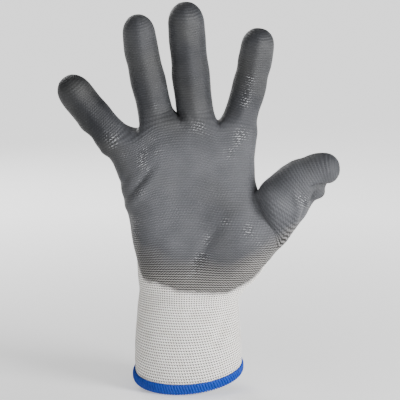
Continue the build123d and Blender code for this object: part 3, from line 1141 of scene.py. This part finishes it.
for number, name in enumerate(cage.names):
    chosen, chosen_inner = outer.piece == number, inner.piece == number
    layers = [
        (outer, chosen, knit_points, knit_normals, False),
        (inner, chosen_inner, inner_points, inner.normals, True),
    ]
    liner = part_of(f"{name}_liner", layers, {"cover": outer.cover})
    finish_piece(liner, KNIT_MATERIAL, "knit_fabric", name, cad_node(name, "knit"))
    if name not in ("wrist", "cuff"):
        layers = [(outer, chosen & film_faces, film_points, film_normals, False)]
        coat = part_of(f"{name}_coating", layers, FILM_LOOKS)
        finish_piece(coat, FILM_MATERIAL, "nitrile_film", name, cad_node(name, "film"))
bpy.data.objects.remove(cage_obj)


# ---- threads
RING_STEPS = 720  # places round the cuff from which threads are laid
STRANDS = 104
STRAND_STEPS = 26
STRAND_SLANT = 3.0  # stitches that a strand moves on from its top end to its inner end
STRAND_RADIUS = 0.82
STRAND_SIDES = 6
CHAIN_PLACE = (3.2, 0.55)  # height of the looped thread above the hem, and out from the knit
CHAIN_SWING = 0.5  # half the height of its loops
CHAIN_RADIUS = 0.42
# Over the cuff's edge: out from the knit and height above the hem, from outer top to inner top.
HEM_SECTION = (
    *((0.15, 3.4), (0.55, 3.0), (0.75, 2.2), (0.8, 1.2), (0.7, 0.2), (0.2, -0.6)),
    *((-0.7, -1.0), (-1.6, -0.6), (-2.0, 0.3), (-2.0, 1.3), (-1.8, 2.4)),
)
ELASTIC_ROWS = 9
ELASTIC_LOW = 6.0  # height of the lowest row of elastic yarn above the hem
ELASTIC_STEP = 3.2
ELASTIC_RADIUS = 0.5
ELASTIC_STEPS = 360  # around the cuff
ELASTIC_SIDES = 8


def tubes(paths, out_ways, radius, sides, closed):
    """Round tubes along paths: an array of (tube, step, xyz), with a way out for each point."""
    ahead = np.roll(paths, -1, axis=1) - np.roll(paths, 1, axis=1)
    if not closed:
        ahead[:, 0] = paths[:, 1] - paths[:, 0]
        ahead[:, -1] = paths[:, -1] - paths[:, -2]
    ahead = unit(ahead)
    across = unit(np.cross(ahead, out_ways))
    out = np.cross(across, ahead)
    turn = np.arange(sides) * 2 * np.pi / sides
    rims = across[:, :, None] * np.cos(turn)[:, None] + out[:, :, None] * np.sin(turn)[:, None]
    points = paths[:, :, None] + radius * rims
    count, steps = paths.shape[:2]
    index = np.arange(count * steps * sides).reshape(count, steps, sides)
    after = np.roll(index, -1, axis=1)
    if not closed:
        index, after = index[:, :-1], after[:, :-1]
    quads = np.stack(
        [index, after, np.roll(after, -1, axis=2), np.roll(index, -1, axis=2)], axis=-1
    )
    return points.reshape(-1, 3), quads.reshape(-1, 4)


def ring_places(height, out, turns):
    """Places on the cuff at a height above the hem, out from its knit, at shares of a turn."""
    table = cuff_ring(height / WRIST_Z, RING_STEPS, 0, out)
    table = np.vstack([table, table[:1]])
    at = (np.asarray(turns) % 1.0) * RING_STEPS
    low = np.floor(at).astype(int)
    return table[low] + (table[low + 1] - table[low]) * (at - low)[..., None]


def hem_band():
    """The dense part of the overlocking: a rounded band over the cuff's edge."""
    turns = np.arange(RING_STEPS) / RING_STEPS
    rows = np.array([ring_places(height, out, turns) for out, height in HEM_SECTION])
    index = np.arange(rows.shape[0] * RING_STEPS).reshape(rows.shape[0], RING_STEPS)
    after = np.roll(index, -1, axis=1)
    quads = np.stack([index[1:], after[1:], after[:-1], index[:-1]], axis=-1)
    return rows.reshape(-1, 3), quads.reshape(-1, 4)


def hem_strands():
    """The thread that goes over the edge again and again, slanting from stitch to stitch."""
    run = np.linspace(0, len(HEM_SECTION) - 1, STRAND_STEPS)
    outs, heights = (np.interp(run, range(len(HEM_SECTION)), row) for row in zip(*HEM_SECTION))
    slants = STRAND_SLANT * np.arange(STRAND_STEPS) / (STRAND_STEPS - 1) / STRANDS
    firsts = np.arange(STRANDS) / STRANDS
    steps = zip(heights, outs, slants)
    paths = np.stack([ring_places(up, out, firsts + slant) for up, out, slant in steps], axis=1)
    middle = ring_places(1.5, -0.5, firsts)[:, None]
    return tubes(paths, unit(paths - middle), STRAND_RADIUS, STRAND_SIDES, closed=False)


def hem_chain():
    """The looped thread along the top of the overlocking."""
    height, out = CHAIN_PLACE
    turns = np.arange(STRANDS * 6) / (STRANDS * 6)
    up = 0.5 + 0.5 * np.sin(turns * STRANDS * 2 * np.pi)
    low = ring_places(height - CHAIN_SWING, out, turns)
    high = ring_places(height + CHAIN_SWING, out, turns)
    path = low + (high - low) * up[:, None]
    outward = unit(ring_places(height, out + 1, turns) - ring_places(height, out, turns))
    return tubes(path[None], outward[None], CHAIN_RADIUS, STRAND_SIDES, closed=True)


def joined(*meshes):
    """Several (points, quads) as one."""
    firsts = np.cumsum([0] + [len(points) for points, quads in meshes])
    points, quads = zip(*meshes)
    return np.concatenate(points), np.concatenate([q + first for q, first in zip(quads, firsts)])


hem = new_mesh("hem_overlocking", *joined(hem_band(), hem_strands(), hem_chain()))
finish_piece(hem, THREAD_MATERIAL, "overlock_thread", "cuff", "hem_overlock")


def elastic_rings():
    """The elastic yarn that lies in rows on the inside of the cuff."""
    turns = np.arange(ELASTIC_STEPS) / ELASTIC_STEPS
    heights = ELASTIC_LOW + ELASTIC_STEP * np.arange(ELASTIC_ROWS)
    paths = np.array([ring_places(height, -KNIT - 0.15, turns) for height in heights])
    outer_paths = np.array([ring_places(height, 1.0, turns) for height in heights])
    outward = unit(outer_paths - paths)
    points, quads = tubes(paths, outward, ELASTIC_RADIUS, ELASTIC_SIDES, closed=True)
    cell = np.array([0.5, 1 / ELASTIC_SIDES])  # the winding's turns in a quad, along and round
    place = np.arange(len(quads))
    low = np.column_stack([place // ELASTIC_SIDES, place % ELASTIC_SIDES]) * cell
    corners = np.array([(0, 0), (1, 0), (1, 1), (0, 1)]) * cell
    return points, quads, low[:, None] + corners


elastic = new_mesh("cuff_elastic_yarn", *elastic_rings())
finish_piece(elastic, ELASTIC_MATERIAL, "elastic_yarn", "cuff", "cuff_elastic")


# ---- floor, light and camera
VIEW_TARGET = Vector((0.0077, HAND_Y * MM, 0.1075))
VIEW_DISTANCE = 0.95
VIEW_ELEVATION = 9.0
VIEW_WIDTH = 0.2545  # width that the camera sees at the target
SENSOR_WIDTH = 36.0
AREA_LIGHTS = {  # place, size, power and target
    "key": ((0.68, -0.50, 0.26), 0.34, 13.0, (0.0, 0.0, 0.09)),
    "back": ((-0.45, 0.80, 0.65), 0.6, 7.0, (0.0, 0.0, 0.11)),
    "cuff": ((0.20, -0.70, 0.05), 0.25, 2.2, (0.0, 0.0, 0.0)),
}
ROOM_LIGHT = 1.3


def add_aimed(name, data, place, target):
    """A light or a camera at a place, turned to a target."""
    obj = linked(name, data)
    obj.location = place
    obj.rotation_mode = "QUATERNION"
    obj.rotation_quaternion = (Vector(target) - Vector(place)).to_track_quat("-Z", "Y")
    return obj


def add_lights():
    for name, (place, size, power, target) in AREA_LIGHTS.items():
        data = bpy.data.lights.new(name, "AREA")
        data.energy, data.size = power, size
        light = add_aimed(name, data, place, target)


def add_floor():
    """A pale floor with a painted glow, dimmer near the glove as painted shade, so that its shadow
    shows.
    """
    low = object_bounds()[0][2]
    bpy.ops.mesh.primitive_plane_add(size=60.0, location=(0, 0, low))
    plane = bpy.context.object
    plane.name = "floor"
    make = Material("floor_white")
    make.shade((0.93, 0.93, 0.93), 0.9, 0.0)
    make.inputs["Emission Color"].default_value = (1, 1, 1, 1)
    away = make.new("VectorMath", operation="LENGTH")
    make.put(make.new("TexCoord").outputs["Object"], away.inputs[0])
    # Painted light: the floor glows, from 0.34 within 0.1 m of its middle to 1.3 beyond 0.7 m, a
    # painted shade round the glove.
    painted_emission = make.ramp(away.outputs["Value"], (0.1, 0.34), (0.7, 1.3))
    make.put(painted_emission, make.inputs["Emission Strength"])
    plane.data.materials.append(make.material)


def add_room():
    """A pale room, brightest at the horizon."""
    world = bpy.data.worlds.new("studio")
    world.use_nodes = True
    make = Nodes(world.node_tree)
    height = make.split(make.new("TexCoord").outputs["Generated"])[2]
    background = make.tree.nodes["Background"].inputs
    make.put(make.ramp(height, (0.05, 1.0), (0.3, 0.2)), background["Color"])
    make.put(ROOM_LIGHT, background["Strength"])
    bpy.context.scene.world = world


def add_camera():
    data = bpy.data.cameras.new("camera")
    data.sensor_width = SENSOR_WIDTH
    data.lens = SENSOR_WIDTH * VIEW_DISTANCE / VIEW_WIDTH
    elevation = rad(VIEW_ELEVATION)
    back = Vector((0, -math.cos(elevation), math.sin(elevation))) * VIEW_DISTANCE
    bpy.context.scene.camera = add_aimed("camera", data, VIEW_TARGET + back, VIEW_TARGET)


add_floor()
add_room()
add_lights()
add_camera()
